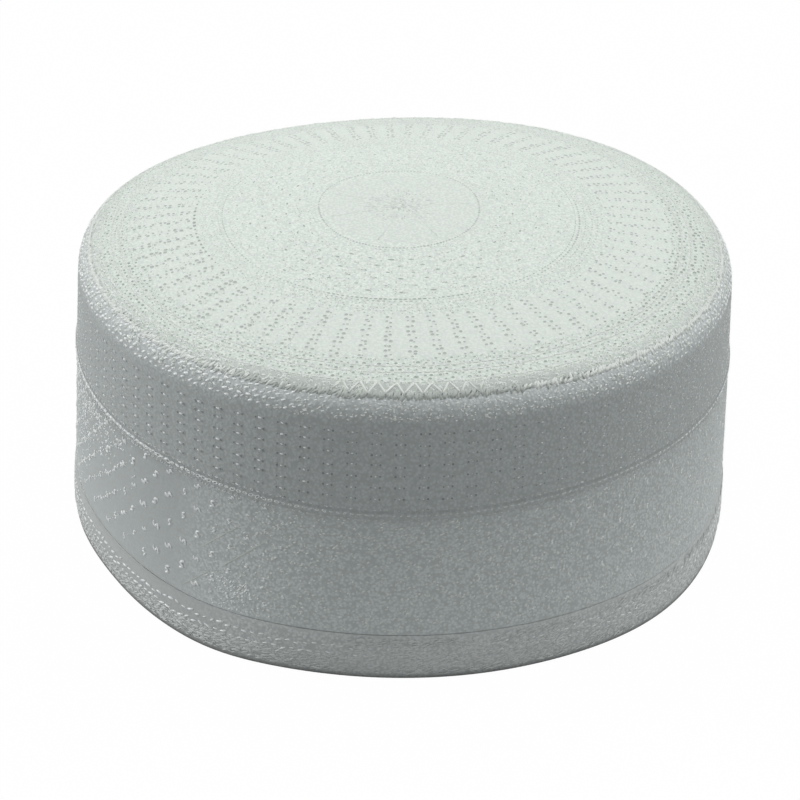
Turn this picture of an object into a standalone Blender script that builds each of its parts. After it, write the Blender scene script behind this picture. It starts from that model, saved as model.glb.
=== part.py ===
"""A prayer cap of stiff white embroidered cloth, standing on its rim.

Metres, +Z up. The origin is the middle of the cap's footprint, on the surface that it rests on.
Three pieces of cloth make it: a low domed crown, a side wall that rolls over into the crown seam,
and a hem band that wraps the lower edge of the wall.
"""

import math

import bpy

# Outline of the cap, seen from the side
RIM_RADIUS = 0.0930
SHOULDER_RADIUS = 0.0880
SHOULDER_HEIGHT = 0.0704
SHOULDER_ROLL = 0.0079
CROWN_SLOPE = math.radians(10.3)

# Thickness of the cloth, and of a single ply where it is turned under another piece
CLOTH = 0.0018
PLY = 0.0009
GAP = 0.0003

# Crown seam: how far round the rolled shoulder it lies, from the wall up to the crown, and how
# far the wall's turned edge runs under the crown
SEAM_SHARE = 0.67
SEAM_LAP = 0.0060
SEAM_ROUND = 0.0006

# Hem band: its height, the ply that runs up inside the wall, its rounded edges and its swell
HEM_HEIGHT = 0.0128
HEM_FACING = 0.0060
HEM_ROUND = 0.0008
HEM_SWELL = 0.0003

# Fold crease that runs round the wall at mid-height
CREASE_HEIGHT = 0.0482
CREASE_RISE = 0.0005
CREASE_HALF_WIDTH = 0.0011

# The cloth stands a little out of round, by these shares of the radius, and leans to +X as it rises
THREE_LOBES = (-0.0041, 0.0091)
FOUR_LOBES = (-0.0085, -0.0056)
LEAN = 0.015

# Facets of the round forms
TURN_STEPS = 64
CROWN_RINGS = 7
ROLL_RINGS = 5
CORNER_RINGS = 2

# Angles and centres that follow from the outline; a lift is how steeply the face looks up
TAPER = math.atan2(RIM_RADIUS - SHOULDER_RADIUS, SHOULDER_HEIGHT)
CROWN_LIFT = math.pi / 2 - CROWN_SLOPE
SEAM_LIFT = TAPER + SEAM_SHARE * (CROWN_LIFT - TAPER)
ROLL_CENTRE_RADIUS = SHOULDER_RADIUS - SHOULDER_ROLL * math.cos(TAPER)
ROLL_CENTRE_HEIGHT = SHOULDER_HEIGHT - SHOULDER_ROLL * math.sin(TAPER)
DOME_RADIUS = ROLL_CENTRE_RADIUS / math.cos(CROWN_LIFT) + SHOULDER_ROLL
DOME_CENTRE_HEIGHT = ROLL_CENTRE_HEIGHT - (DOME_RADIUS - SHOULDER_ROLL) * math.sin(CROWN_LIFT)

# Depths of the turned-under plies below the outer face
PLY_OUTER = CLOTH + GAP
PLY_INNER = CLOTH + GAP + PLY


def wall_point(height, depth=0.0):
    """Point (radius, height) of the tapered wall, at a depth inside its outer face."""
    taper_run = (RIM_RADIUS - SHOULDER_RADIUS) * height / SHOULDER_HEIGHT
    return (RIM_RADIUS - taper_run - depth, height)


def top_point(lift, depth=0.0):
    """Point of the rolled shoulder or of the crown's dome, where the face has this lift."""
    if lift > CROWN_LIFT:
        reach = DOME_RADIUS - depth
        return (reach * math.cos(lift), DOME_CENTRE_HEIGHT + reach * math.sin(lift))
    reach = SHOULDER_ROLL - depth
    return (ROLL_CENTRE_RADIUS + reach * math.cos(lift), ROLL_CENTRE_HEIGHT + reach * math.sin(lift))


def corner(tip, first, second, size):
    """Points that round a square corner, from its first side to its second.

    The two sides are unit vectors that point away from the tip.
    """
    points = []
    for step in range(CORNER_RINGS + 1):
        angle = math.pi / 2 * step / CORNER_RINGS
        along_first = size * (1.0 - math.sin(angle))
        along_second = size * (1.0 - math.cos(angle))
        points.append((
            tip[0] + first[0] * along_first + second[0] * along_second,
            tip[1] + first[1] * along_first + second[1] * along_second,
        ))
    return points


def spread(start, end, count):
    """Evenly spaced values from start to end, both included."""
    return [start + (end - start) * step / (count - 1) for step in range(count)]


def seam_sides(lift):
    """Unit vectors at the crown seam: up the face, down the face, and into the cloth."""
    uphill = (-math.sin(lift), math.cos(lift))
    downhill = (math.sin(lift), -math.cos(lift))
    inward = (-math.cos(lift), -math.sin(lift))
    return uphill, downhill, inward


def crown_outline():
    """Half section of the crown, from the middle out over the edge and back underneath."""
    edge = SEAM_LIFT + GAP / SHOULDER_ROLL
    uphill, _, inward = seam_sides(edge)
    dome_lifts = spread(math.pi / 2, CROWN_LIFT, CROWN_RINGS)
    roll_lift = (CROWN_LIFT + edge) / 2

    top = [top_point(lift) for lift in dome_lifts + [roll_lift]]
    rounded = corner(top_point(edge), uphill, inward, SEAM_ROUND)
    under = [top_point(lift, CLOTH) for lift in [edge, roll_lift] + dome_lifts[::-1]]
    return top + rounded + under


def wall_outline():
    """Section of the side wall, from its turned edge under the crown, down outside, up inside."""
    _, downhill, inward = seam_sides(SEAM_LIFT)
    lap_on_roll = (CROWN_LIFT - SEAM_LIFT) * (SHOULDER_ROLL - PLY_OUTER)
    lap_end = CROWN_LIFT + (SEAM_LAP - lap_on_roll) / DOME_RADIUS
    foot = HEM_HEIGHT + GAP

    lap_lifts = [lap_end] + spread(CROWN_LIFT, SEAM_LIFT, 3)
    lap_top = [top_point(lift, PLY_OUTER) for lift in lap_lifts]
    seam_edge = corner(top_point(SEAM_LIFT), inward, downhill, SEAM_ROUND)
    seam_end = SEAM_LIFT - 2.0 * SEAM_ROUND / SHOULDER_ROLL
    roll = [top_point(lift) for lift in spread(seam_end, TAPER, ROLL_RINGS)]
    crease = [
        wall_point(CREASE_HEIGHT + CREASE_HALF_WIDTH),
        wall_point(CREASE_HEIGHT, -CREASE_RISE),
        wall_point(CREASE_HEIGHT - CREASE_HALF_WIDTH),
    ]
    lower_face = [wall_point((CREASE_HEIGHT + foot) / 2)]
    foot_edge = corner(wall_point(foot), (0.0, 1.0), (-1.0, 0.0), HEM_ROUND)
    inside = [wall_point(height, CLOTH) for height in spread(foot, SHOULDER_HEIGHT, 4)]

    under = []
    for lift in spread(TAPER, SEAM_LIFT, ROLL_RINGS)[1:]:
        share = (lift - TAPER) / (SEAM_LIFT - TAPER)
        under.append(top_point(lift, CLOTH + (PLY_INNER - CLOTH) * share))
    lap_under = [top_point(lift, PLY_INNER) for lift in lap_lifts[-2::-1]]
    return lap_top + seam_edge + roll + crease + lower_face + foot_edge + inside + under + lap_under


def hem_outline():
    """Section of the hem band, from the top of its inner ply, down outside, up inside."""
    up = (0.0, 1.0)
    down = (0.0, -1.0)
    inward = (-1.0, 0.0)
    outward = (1.0, 0.0)
    top = HEM_HEIGHT + HEM_FACING

    ply_face = [wall_point(top, PLY_OUTER), wall_point(HEM_HEIGHT, PLY_OUTER)]
    upper_edge = corner(wall_point(HEM_HEIGHT), inward, down, HEM_ROUND)
    swell = [
        wall_point(HEM_HEIGHT * 0.72, -HEM_SWELL),
        wall_point(HEM_HEIGHT * 0.28, -HEM_SWELL),
    ]
    lower_edge = corner(wall_point(0.0), up, inward, HEM_ROUND)
    inner_edge = corner(wall_point(0.0, PLY_INNER), outward, up, HEM_ROUND)
    inside = [wall_point(height, PLY_INNER) for height in spread(HEM_HEIGHT / 2, top, 3)]
    return ply_face + upper_edge + swell + lower_edge + inner_edge + inside


def plan_factor(turn):
    """How far out of round the cap stands, at an angle about the vertical."""
    three = THREE_LOBES[0] * math.cos(3.0 * turn) + THREE_LOBES[1] * math.sin(3.0 * turn)
    four = FOUR_LOBES[0] * math.cos(4.0 * turn) + FOUR_LOBES[1] * math.sin(4.0 * turn)
    return 1.0 + three + four


def rim_middle():
    """Middle of the lobed rim, seen from above."""
    turns = [2.0 * math.pi * step / TURN_STEPS for step in range(TURN_STEPS)]
    reach = RIM_RADIUS + HEM_SWELL
    across = [reach * plan_factor(turn) * math.cos(turn) for turn in turns]
    along = [reach * plan_factor(turn) * math.sin(turn) for turn in turns]
    return ((min(across) + max(across)) / 2, (min(along) + max(along)) / 2)


def settle(mesh):
    """Gives a round mesh the cap's lobed, leaning stand, with the rim centred on the origin."""
    middle = rim_middle()
    for vertex in mesh.vertices:
        factor = plan_factor(math.atan2(vertex.co.y, vertex.co.x))
        vertex.co.x = vertex.co.x * factor + LEAN * vertex.co.z - middle[0]
        vertex.co.y = vertex.co.y * factor - middle[1]


def cloth_material(name, colour, roughness):
    """A plain cloth finish."""
    material = bpy.data.materials.new(name)
    material.use_nodes = True
    surface = material.node_tree.nodes["Principled BSDF"]
    surface.inputs["Base Color"].default_value = (*colour, 1.0)
    surface.inputs["Roughness"].default_value = roughness
    surface.inputs["Metallic"].default_value = 0.0
    material.diffuse_color = (*colour, 1.0)
    return material


def turned_piece(name, outline, closed, material, collection):
    """Turns a half section about the vertical axis into one closed cloth piece."""
    count = len(outline)
    edges = [(index, index + 1) for index in range(count - 1)]
    if closed:
        edges.append((count - 1, 0))
    section = bpy.data.meshes.new(name + "_section")
    section.from_pydata([(radius, 0.0, height) for radius, height in outline], edges, [])
    piece = bpy.data.objects.new(name, section)
    collection.objects.link(piece)

    screw = piece.modifiers.new("turn", "SCREW")
    screw.axis = "Z"
    screw.angle = 2.0 * math.pi
    screw.steps = TURN_STEPS
    screw.render_steps = TURN_STEPS
    screw.use_merge_vertices = True
    screw.merge_threshold = 0.00001

    evaluated = piece.evaluated_get(bpy.context.evaluated_depsgraph_get())
    mesh = bpy.data.meshes.new_from_object(evaluated)
    piece.modifiers.clear()
    piece.data = mesh
    mesh.name = name
    bpy.data.meshes.remove(section)

    settle(mesh)
    mesh.materials.clear()
    mesh.materials.append(material)
    mesh.shade_smooth()
    mesh.set_sharp_from_angle(angle=math.radians(50.0))
    return piece


def build():
    """Builds the cap's three pieces."""
    for leftover in list(bpy.data.objects):
        bpy.data.objects.remove(leftover, do_unlink=True)
    cap = bpy.data.collections.new("prayer_cap")
    bpy.context.scene.collection.children.link(cap)

    crown_cloth = cloth_material("crown_cloth", (0.78, 0.82, 0.79), 0.72)
    wall_cloth = cloth_material("wall_cloth", (0.76, 0.80, 0.79), 0.76)
    hem_cloth = cloth_material("hem_cloth", (0.75, 0.79, 0.78), 0.78)

    turned_piece("crown_top", crown_outline(), False, crown_cloth, cap)
    turned_piece("side_wall", wall_outline(), True, wall_cloth, cap)
    turned_piece("hem_band", hem_outline(), True, hem_cloth, cap)


build()
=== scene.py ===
import math

import bmesh
import bpy
import numpy as np
from mathutils import Matrix, Vector


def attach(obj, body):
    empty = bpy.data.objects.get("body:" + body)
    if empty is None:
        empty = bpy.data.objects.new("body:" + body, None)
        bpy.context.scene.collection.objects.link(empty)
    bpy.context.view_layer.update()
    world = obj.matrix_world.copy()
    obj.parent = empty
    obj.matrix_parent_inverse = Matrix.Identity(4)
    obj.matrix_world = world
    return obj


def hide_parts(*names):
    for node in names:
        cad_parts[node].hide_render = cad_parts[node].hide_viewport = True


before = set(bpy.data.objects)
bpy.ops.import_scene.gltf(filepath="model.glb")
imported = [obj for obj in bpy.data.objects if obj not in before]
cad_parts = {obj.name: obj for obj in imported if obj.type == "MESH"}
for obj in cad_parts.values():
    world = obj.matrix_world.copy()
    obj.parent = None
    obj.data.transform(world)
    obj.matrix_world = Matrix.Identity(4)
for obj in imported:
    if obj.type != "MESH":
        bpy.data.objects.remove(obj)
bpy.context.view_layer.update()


# Crown cloth: a disc of stiffened white cotton, blocked into a low dome and rolled over at the
# shoulder. It is cut from plain woven cloth, so its weave runs straight across the dome.
FULL_TURN = 2.0 * math.pi
RIM_RADIUS = 0.0930
SHOULDER_RADIUS = 0.0880
SHOULDER_HEIGHT = 0.0704
SHOULDER_ROLL = 0.0079
CROWN_SLOPE = math.radians(10.3)
CLOTH = 0.0018
GAP = 0.0003
SEAM_SHARE = 0.67
SEAM_ROUND = 0.0003
THREE_LOBES = (-0.0041, 0.0091)
FOUR_LOBES = (-0.0085, -0.0056)
LEAN = 0.015
HEM_SWELL = 0.0003

TAPER = math.atan2(RIM_RADIUS - SHOULDER_RADIUS, SHOULDER_HEIGHT)
CROWN_LIFT = math.pi / 2 - CROWN_SLOPE
SEAM_LIFT = TAPER + SEAM_SHARE * (CROWN_LIFT - TAPER)
ROLL_CENTRE_RADIUS = SHOULDER_RADIUS - SHOULDER_ROLL * math.cos(TAPER)
ROLL_CENTRE_HEIGHT = SHOULDER_HEIGHT - SHOULDER_ROLL * math.sin(TAPER)
DOME_RADIUS = ROLL_CENTRE_RADIUS / math.cos(CROWN_LIFT) + SHOULDER_ROLL
DOME_CENTRE_HEIGHT = ROLL_CENTRE_HEIGHT - (DOME_RADIUS - SHOULDER_ROLL) * math.sin(CROWN_LIFT)
DOME_RUN = DOME_RADIUS * CROWN_SLOPE
SHOULDER_RUN = DOME_RUN + SHOULDER_ROLL * (CROWN_LIFT - TAPER)
SEAM_RUN = DOME_RUN + SHOULDER_ROLL * (CROWN_LIFT - SEAM_LIFT)
RIM_RUN = SHOULDER_RUN + SHOULDER_HEIGHT / math.cos(TAPER)


def face_point(run, height=0.0):
    """Radius and height above the table of the cap's face, a run from the crown's middle."""
    run = np.asarray(run, float)
    wall = run - SHOULDER_RUN
    lift = np.where(run <= DOME_RUN, math.pi / 2 - run / DOME_RADIUS,
                    CROWN_LIFT - (run - DOME_RUN) / SHOULDER_ROLL)
    lift = np.where(wall > 0.0, TAPER, lift)
    reach = np.where(run <= DOME_RUN, DOME_RADIUS, SHOULDER_ROLL)
    centre_radius = np.where(run <= DOME_RUN, 0.0, ROLL_CENTRE_RADIUS)
    centre_height = np.where(run <= DOME_RUN, DOME_CENTRE_HEIGHT, ROLL_CENTRE_HEIGHT)
    down = np.maximum(wall, 0.0)
    radius = centre_radius + (reach + height) * np.cos(lift) + down * math.sin(TAPER)
    level = centre_height + (reach + height) * np.sin(lift) - down * math.cos(TAPER)
    return radius, level


def plan_factor(turn):
    """How far out of round the cap stands, at an angle about the vertical."""
    three = THREE_LOBES[0] * np.cos(3.0 * turn) + THREE_LOBES[1] * np.sin(3.0 * turn)
    four = FOUR_LOBES[0] * np.cos(4.0 * turn) + FOUR_LOBES[1] * np.sin(4.0 * turn)
    return 1.0 + three + four


rim_turns = np.linspace(-math.pi, math.pi, 65)
rim_across = (RIM_RADIUS + HEM_SWELL) * plan_factor(rim_turns) * np.cos(rim_turns)
rim_along = (RIM_RADIUS + HEM_SWELL) * plan_factor(rim_turns) * np.sin(rim_turns)
RIM_MIDDLE = ((rim_across.min() + rim_across.max()) / 2, (rim_along.min() + rim_along.max()) / 2)

# A turn runs anticlockwise from the cap's right: 90 degrees is its back, 180 its left and 270 its
# front. Each wave, sink or dip has its turn, its half width, and how far the cloth moves.
RIM_WAVES = [
    (214.0, 13.0, -0.0010),
    (241.0, 10.0, 0.0009),
    (264.0, 16.0, -0.0003),
    (314.0, 14.0, 0.0008),
    (345.0, 14.0, -0.0005),
]
WAVE_HEIGHT = 0.050
BACK_SINK = (132.0, 38.0, 0.0013)
CREASE_DIP = (268.0, 32.0, 0.0027)
CREASE_HEIGHT = 0.0482
CREASE_SPREAD = 0.010
CREASE_SIDES = 0.0009


def angle_from(turn, middle):
    """Degrees from a middle, from -180 to 180."""
    return (np.degrees(turn) - middle + 180.0) % 360.0 - 180.0


def near(turn, middle, width, power=2):
    """1 at a middle, and 0 beyond a half width, both in degrees. A higher power fades more sharply."""
    return np.exp(-(angle_from(turn, middle) / width) ** power)


def settled(turn, radius, level):
    """The place of a point of the round cap once the cloth stands lobed, leaning and a little wavy."""
    factor = plan_factor(turn)
    fade = np.clip(1.0 - level / WAVE_HEIGHT, 0.0, 1.0) ** 2
    for middle, width, out in RIM_WAVES:
        factor = factor + out / RIM_RADIUS * fade * near(turn, middle, width)
    sink_turn, sink_width, sink_depth = BACK_SINK
    sink = sink_depth * near(turn, sink_turn, sink_width)
    level = level - sink * (radius / SHOULDER_RADIUS) ** 3 * np.clip(level / SHOULDER_HEIGHT, 0.0, 1.0) ** 3
    dip_turn, dip_width, dip_depth = CREASE_DIP
    dip = dip_depth * near(turn, dip_turn, dip_width) - CREASE_SIDES
    level = level - dip * np.exp(-((level - CREASE_HEIGHT) / CREASE_SPREAD) ** 2)
    across = radius * factor * np.cos(turn) + LEAN * level - RIM_MIDDLE[0]
    along = radius * factor * np.sin(turn) - RIM_MIDDLE[1]
    return np.stack([across, along, level + 0.0 * factor], axis=-1)


CORNER_STEPS = 4


def corner_rows(tip, first, second, size, run):
    """Rows that round a square corner of a section, from its first side to its second."""
    rows = []
    for angle in np.linspace(0.0, math.pi / 2, CORNER_STEPS + 1):
        along_first = size * (1.0 - math.sin(angle))
        along_second = size * (1.0 - math.cos(angle))
        rows.append((
            tip[0] + first[0] * along_first + second[0] * along_second,
            tip[1] + first[1] * along_first + second[1] * along_second,
            run,
        ))
    return rows


def face_rows(runs, height=0.0, rise=None):
    """Rows of a section along the cap's face."""
    heights = height + (rise(runs) if rise else 0.0 * runs)
    radii, levels = face_point(runs, heights)
    return list(zip(radii, levels, runs))


def seam_sides(lift):
    """Unit vectors at the crown seam: up the face, down the face, and into the cloth."""
    return ((-math.sin(lift), math.cos(lift)), (math.sin(lift), -math.cos(lift)),
            (-math.cos(lift), -math.sin(lift)))


def made_mesh(bm, name):
    """The mesh of a finished bmesh."""
    mesh = bpy.data.meshes.new(name)
    bm.to_mesh(mesh)
    bm.free()
    return mesh


def new_piece(name, mesh):
    """An object in the scene for a finished mesh."""
    piece = bpy.data.objects.new(name, mesh)
    bpy.context.collection.objects.link(piece)
    return piece


TURN_STEPS = 288
MERGE_DISTANCE = 0.000004
POLE_RADIUS = 0.0001
SHARP_ANGLE = math.radians(60.0)


def spun_cloth(name, rows, closed):
    """Spins a section into a piece of cloth. A row is a radius, a level and a run on the face."""
    bm = bmesh.new()
    run_layer = bm.verts.layers.float.new("run")
    verts = []
    for radius, level, run in rows:
        vert = bm.verts.new((radius, 0.0, level))
        vert[run_layer] = run
        verts.append(vert)
    pairs = list(zip(verts, verts[1:])) + ([(verts[-1], verts[0])] if closed else [])
    edges = [bm.edges.new(pair) for pair in pairs]
    bmesh.ops.spin(bm, geom=verts + edges, cent=(0.0, 0.0, 0.0), axis=(0.0, 0.0, 1.0), dvec=(0.0, 0.0, 0.0),
                   angle=FULL_TURN, steps=TURN_STEPS, use_merge=True)
    bmesh.ops.remove_doubles(bm, verts=bm.verts, dist=MERGE_DISTANCE)
    bmesh.ops.recalc_face_normals(bm, faces=bm.faces)
    lay = bm.loops.layers.uv.new("cloth")
    for piece_face in bm.faces:
        middle = piece_face.calc_center_median()
        middle_turn = math.atan2(middle.y, middle.x)
        for loop in piece_face.loops:
            point = loop.vert.co
            turn = math.atan2(point.y, point.x) if point.xy.length > POLE_RADIUS else middle_turn
            turn += FULL_TURN * round((middle_turn - turn) / FULL_TURN)
            loop[lay].uv = (turn / FULL_TURN + 0.5, loop.vert[run_layer])
    mesh = made_mesh(bm, name)
    round_points = np.empty(len(mesh.vertices) * 3, np.float32)
    mesh.vertices.foreach_get("co", round_points)
    round_points = round_points.reshape(-1, 3).astype(float)
    turns = np.arctan2(round_points[:, 1], round_points[:, 0])
    radii = np.hypot(round_points[:, 0], round_points[:, 1])
    mesh.vertices.foreach_set("co", settled(turns, radii, round_points[:, 2]).astype(np.float32).ravel())
    mesh.shade_smooth()
    mesh.set_sharp_from_angle(angle=SHARP_ANGLE)
    return new_piece(name, mesh)


# The section runs out over the dome and the roll, turns round the cut edge, and comes back inside.
crown_edge_run = SEAM_RUN - GAP
uphill, downhill, inward = seam_sides(SEAM_LIFT + GAP / SHOULDER_ROLL)
crown_rows = face_rows(np.linspace(0.0, DOME_RUN, 42))
crown_rows += face_rows(np.linspace(DOME_RUN + 0.0004, crown_edge_run - 0.0009, 7))
crown_rows += corner_rows(face_point(crown_edge_run), uphill, inward, SEAM_ROUND, crown_edge_run)
crown_rows += face_rows(np.linspace(crown_edge_run, DOME_RUN, 4), -CLOTH)
crown_rows += face_rows(np.linspace(DOME_RUN - 0.002, 0.0, 14), -CLOTH)
crown_cloth = spun_cloth("crown_cloth", crown_rows, False)


def node_group(name, inputs, outputs):
    """A shader group and its two ends, with float and vector sockets; an input may have a default."""
    group = bpy.data.node_groups.new(name, "ShaderNodeTree")
    for socket_name, kind, value in inputs:
        socket = group.interface.new_socket(name=socket_name, in_out="INPUT",
                                            socket_type="NodeSocket" + kind)
        if value is not None:
            socket.default_value = value
    for socket_name in outputs:
        group.interface.new_socket(name=socket_name, in_out="OUTPUT", socket_type="NodeSocketFloat")
    return group, group.nodes.new("NodeGroupInput").outputs, group.nodes.new("NodeGroupOutput").inputs


def add_node(tree, kind, settings=None, **inputs):
    """A node with its settings, and its inputs linked from sockets or set to values."""
    node = tree.nodes.new(kind)
    for key, value in (settings or {}).items():
        setattr(node, key, value)
    for key, value in inputs.items():
        numbered = key[0] == "i" and key[1:].isdigit()
        socket = node.inputs[int(key[1:])] if numbered else node.inputs[key.replace("_", " ")]
        if isinstance(value, bpy.types.NodeSocket):
            tree.links.new(value, socket)
        else:
            socket.default_value = value
    return node


def sum_of(tree, operation, *values):
    """Output of one maths node."""
    inputs = {f"i{place}": value for place, value in enumerate(values)}
    return add_node(tree, "ShaderNodeMath", {"operation": operation}, **inputs).outputs[0]


def smooth_step(tree, value, low, high, at_low=0.0, at_high=1.0):
    """Output of a node that goes smoothly from one value to another as its input rises."""
    return add_node(tree, "ShaderNodeMapRange", {"interpolation_type": "SMOOTHSTEP"}, Value=value,
                    From_Min=low, From_Max=high, To_Min=at_low, To_Max=at_high).outputs[0]


def scaled(tree, vector, scale):
    """Output of a node that scales a vector or a colour."""
    return add_node(tree, "ShaderNodeVectorMath", {"operation": "SCALE"},
                    Vector=vector, Scale=scale).outputs[0]


# The ground weave, used by every cloth piece: over-and-under threads, and the pebbled surface of
# the close ground stitching where it covers the cloth. Its Shade is painted shade in the hollows.
cotton_weave, weave_in, weave_out = node_group(
    "cotton_weave",
    [("Vector", "Vector", None), ("Thread", "Float", 0.0004), ("Pebble Size", "Float", 0.00074),
     ("Pebble", "Float", 0.0)],
    ["Shade", "Height"],
)
thread_scale = sum_of(cotton_weave, "DIVIDE", math.pi, weave_in["Thread"])
thread_axes = add_node(cotton_weave, "ShaderNodeSeparateXYZ",
                       Vector=scaled(cotton_weave, weave_in["Vector"], thread_scale))
warp = sum_of(cotton_weave, "SINE", thread_axes.outputs["X"])
weft = sum_of(cotton_weave, "SINE", thread_axes.outputs["Y"])
over = smooth_step(cotton_weave, sum_of(cotton_weave, "MULTIPLY", warp, weft), -0.25, 0.25)
warp_high = sum_of(cotton_weave, "ABSOLUTE", warp)
weft_high = sum_of(cotton_weave, "ABSOLUTE", weft)
weave_height = add_node(cotton_weave, "ShaderNodeMix", {"data_type": "FLOAT"},
                        i0=over, i2=warp_high, i3=weft_high).outputs[0]
pebble_scale = sum_of(cotton_weave, "DIVIDE", 1.0, weave_in["Pebble Size"])
pebble_place = scaled(cotton_weave, weave_in["Vector"], pebble_scale)
pebbles = add_node(cotton_weave, "ShaderNodeTexVoronoi", {"feature": "SMOOTH_F1", "voronoi_dimensions": "3D"},
                   Vector=pebble_place, Scale=1.0, Smoothness=0.35).outputs["Distance"]
pebble_dome = smooth_step(cotton_weave, pebbles, 0.12, 0.78, 1.0, 0.0)
slubs = add_node(cotton_weave, "ShaderNodeTexNoise", {"noise_dimensions": "3D"},
                 Vector=pebble_place, Scale=0.9, Detail=3.0).outputs[0]
pebble_height = sum_of(cotton_weave, "MULTIPLY", pebble_dome, weave_in["Pebble"])
fine_height = sum_of(cotton_weave, "MULTIPLY", weave_height, 0.25)
slub_height = sum_of(cotton_weave, "MULTIPLY_ADD", slubs, 0.5, fine_height)
all_height = sum_of(cotton_weave, "MULTIPLY_ADD", pebble_height, 1.6, slub_height)
cotton_weave.links.new(all_height, weave_out["Height"])
# Shade: painted shade in the gaps between pebbles and between threads, with the slubs' own mottle.
pebble_gaps = sum_of(cotton_weave, "SUBTRACT", 1.0, pebble_dome)
pebble_dark = sum_of(cotton_weave, "MULTIPLY", pebble_gaps, weave_in["Pebble"])
weave_gaps = sum_of(cotton_weave, "SUBTRACT", 1.0, weave_height)
weave_dark = sum_of(cotton_weave, "MULTIPLY_ADD", weave_gaps, 0.12, pebble_dark)
all_dark = sum_of(cotton_weave, "MULTIPLY_ADD", slubs, 0.25, weave_dark)
cotton_weave.links.new(all_dark, weave_out["Shade"])


def new_material(name):
    """A material, its node tree and its surface shader."""
    material = bpy.data.materials.new(name)
    material.use_nodes = True
    tree = material.node_tree
    return material, tree, tree.nodes["Principled BSDF"]


def mixed_colour(tree, share, colour, other):
    """Output of a node that mixes two plain colours."""
    return add_node(tree, "ShaderNodeMix", {"data_type": "RGBA"},
                    i0=share, i6=(*colour, 1.0), i7=(*other, 1.0)).outputs[2]


def dress(tree, surface, colour, height, strength, distance, **values):
    """Links a colour and a bump to the surface shader, and sets its plain values."""
    bump = add_node(tree, "ShaderNodeBump", Strength=strength, Distance=distance, Height=height)
    tree.links.new(colour, surface.inputs["Base Color"])
    tree.links.new(bump.outputs[0], surface.inputs["Normal"])
    for key, value in values.items():
        surface.inputs[key.replace("_", " ")].default_value = value


# How much darker a quiet patch is painted, as painted shade.
QUIET_PAINTED_SHADE = 0.30
QUIET_SMOOTH = 0.75


def cloth_material(name, colour, hollow_shade_colour, straight, bands, quiet):
    """White cotton, darkened in its hollows by painted shade. Each band is a place on the run, the depth
    of its pebbled ground, and how light it is: its own tone, and painted light and shade down the piece.

    The weave runs straight across the piece or round it. A quiet patch is left smooth and painted
    darker as painted shade: its middle and half width as shares of a turn, and the run it starts at.
    """
    material, tree, surface = new_material(name)
    cloth_map = add_node(tree, "ShaderNodeUVMap", {"uv_map": "cloth"}).outputs[0]
    places = add_node(tree, "ShaderNodeSeparateXYZ", Vector=cloth_map)
    turn_share, run = places.outputs["X"], places.outputs["Y"]
    ramp = add_node(tree, "ShaderNodeValToRGB", Fac=sum_of(tree, "DIVIDE", run, RIM_RUN))
    for _ in bands[2:]:
        ramp.color_ramp.elements.new(0.5)
    for element, (place, pebble, light) in zip(ramp.color_ramp.elements, bands):
        element.position = place / RIM_RUN
        element.color = (pebble, light, 0.0, 1.0)
    band = add_node(tree, "ShaderNodeSeparateColor", Color=ramp.outputs[0])
    if straight:
        vector = add_node(tree, "ShaderNodeTexCoord").outputs["Object"]
    else:
        vector = add_node(tree, "ShaderNodeMapping", Vector=cloth_map,
                          Scale=(FULL_TURN * SHOULDER_RADIUS, 1.0, 1.0)).outputs[0]
    quiet_middle, quiet_width, quiet_start = quiet
    away = sum_of(tree, "ABSOLUTE", sum_of(tree, "SUBTRACT", turn_share, quiet_middle))
    inside = smooth_step(tree, away, 0.6 * quiet_width, quiet_width, QUIET_SMOOTH, 0.0)
    smooth_and_painted_shade = sum_of(tree, "MULTIPLY", inside, sum_of(tree, "GREATER_THAN", run, quiet_start))
    pebble_depth = sum_of(tree, "MULTIPLY", band.outputs[0], sum_of(tree, "SUBTRACT", 1.0, smooth_and_painted_shade))
    # The quiet patch is painted darker as painted shade, and the bands paint light and shade down the run.
    painted_shade = sum_of(tree, "MULTIPLY_ADD", smooth_and_painted_shade, -QUIET_PAINTED_SHADE, 1.0)
    painted_lightness = sum_of(tree, "MULTIPLY", band.outputs[1], painted_shade)
    weave = add_node(tree, "ShaderNodeGroup", {"node_tree": cotton_weave}, Vector=vector, Pebble=pebble_depth)
    # The weave's hollows are mixed towards the hollow colour, a painted shade.
    dark = add_node(tree, "ShaderNodeClamp", Value=sum_of(tree, "MULTIPLY", weave.outputs["Shade"], 0.8))
    tint = mixed_colour(tree, dark.outputs[0], colour, hollow_shade_colour)
    dress(tree, surface, scaled(tree, tint, painted_lightness), weave.outputs["Height"], 0.5, 0.00012,
          Roughness=0.85, Sheen_Weight=0.1, Sheen_Roughness=0.4, Specular_IOR_Level=0.3)
    return material


CROWN_WHITE = (0.81, 0.86, 0.81)
CROWN_HOLLOW_SHADE = (0.57, 0.62, 0.58)
# The quiet patch at the front of the seam is painted darker, a painted shade between the zigzag's legs, and
# the last two bands darken towards the seam, also painted shade.
CROWN_QUIET = (0.25, 0.10, 0.0821)
CROWN_BANDS = [
    (0.0, 0.55, 1.015), (0.0215, 0.55, 1.015), (0.0225, 0.75, 1.07), (0.0470, 0.75, 1.08),
    (0.0480, 0.75, 1.07), (0.0545, 0.75, 1.07), (0.0560, 0.4, 1.025), (0.0715, 0.4, 1.025),
    (0.0730, 0.75, 1.05), (0.0810, 0.75, 1.05), (0.0824, 0.9, 0.99), (0.0860, 0.9, 0.94),
]
crown_cotton = cloth_material("crown_cotton", CROWN_WHITE, CROWN_HOLLOW_SHADE, True, CROWN_BANDS, CROWN_QUIET)
crown_cloth.data.materials.append(crown_cotton)
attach(crown_cloth, "root")
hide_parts("crown_top")


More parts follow.
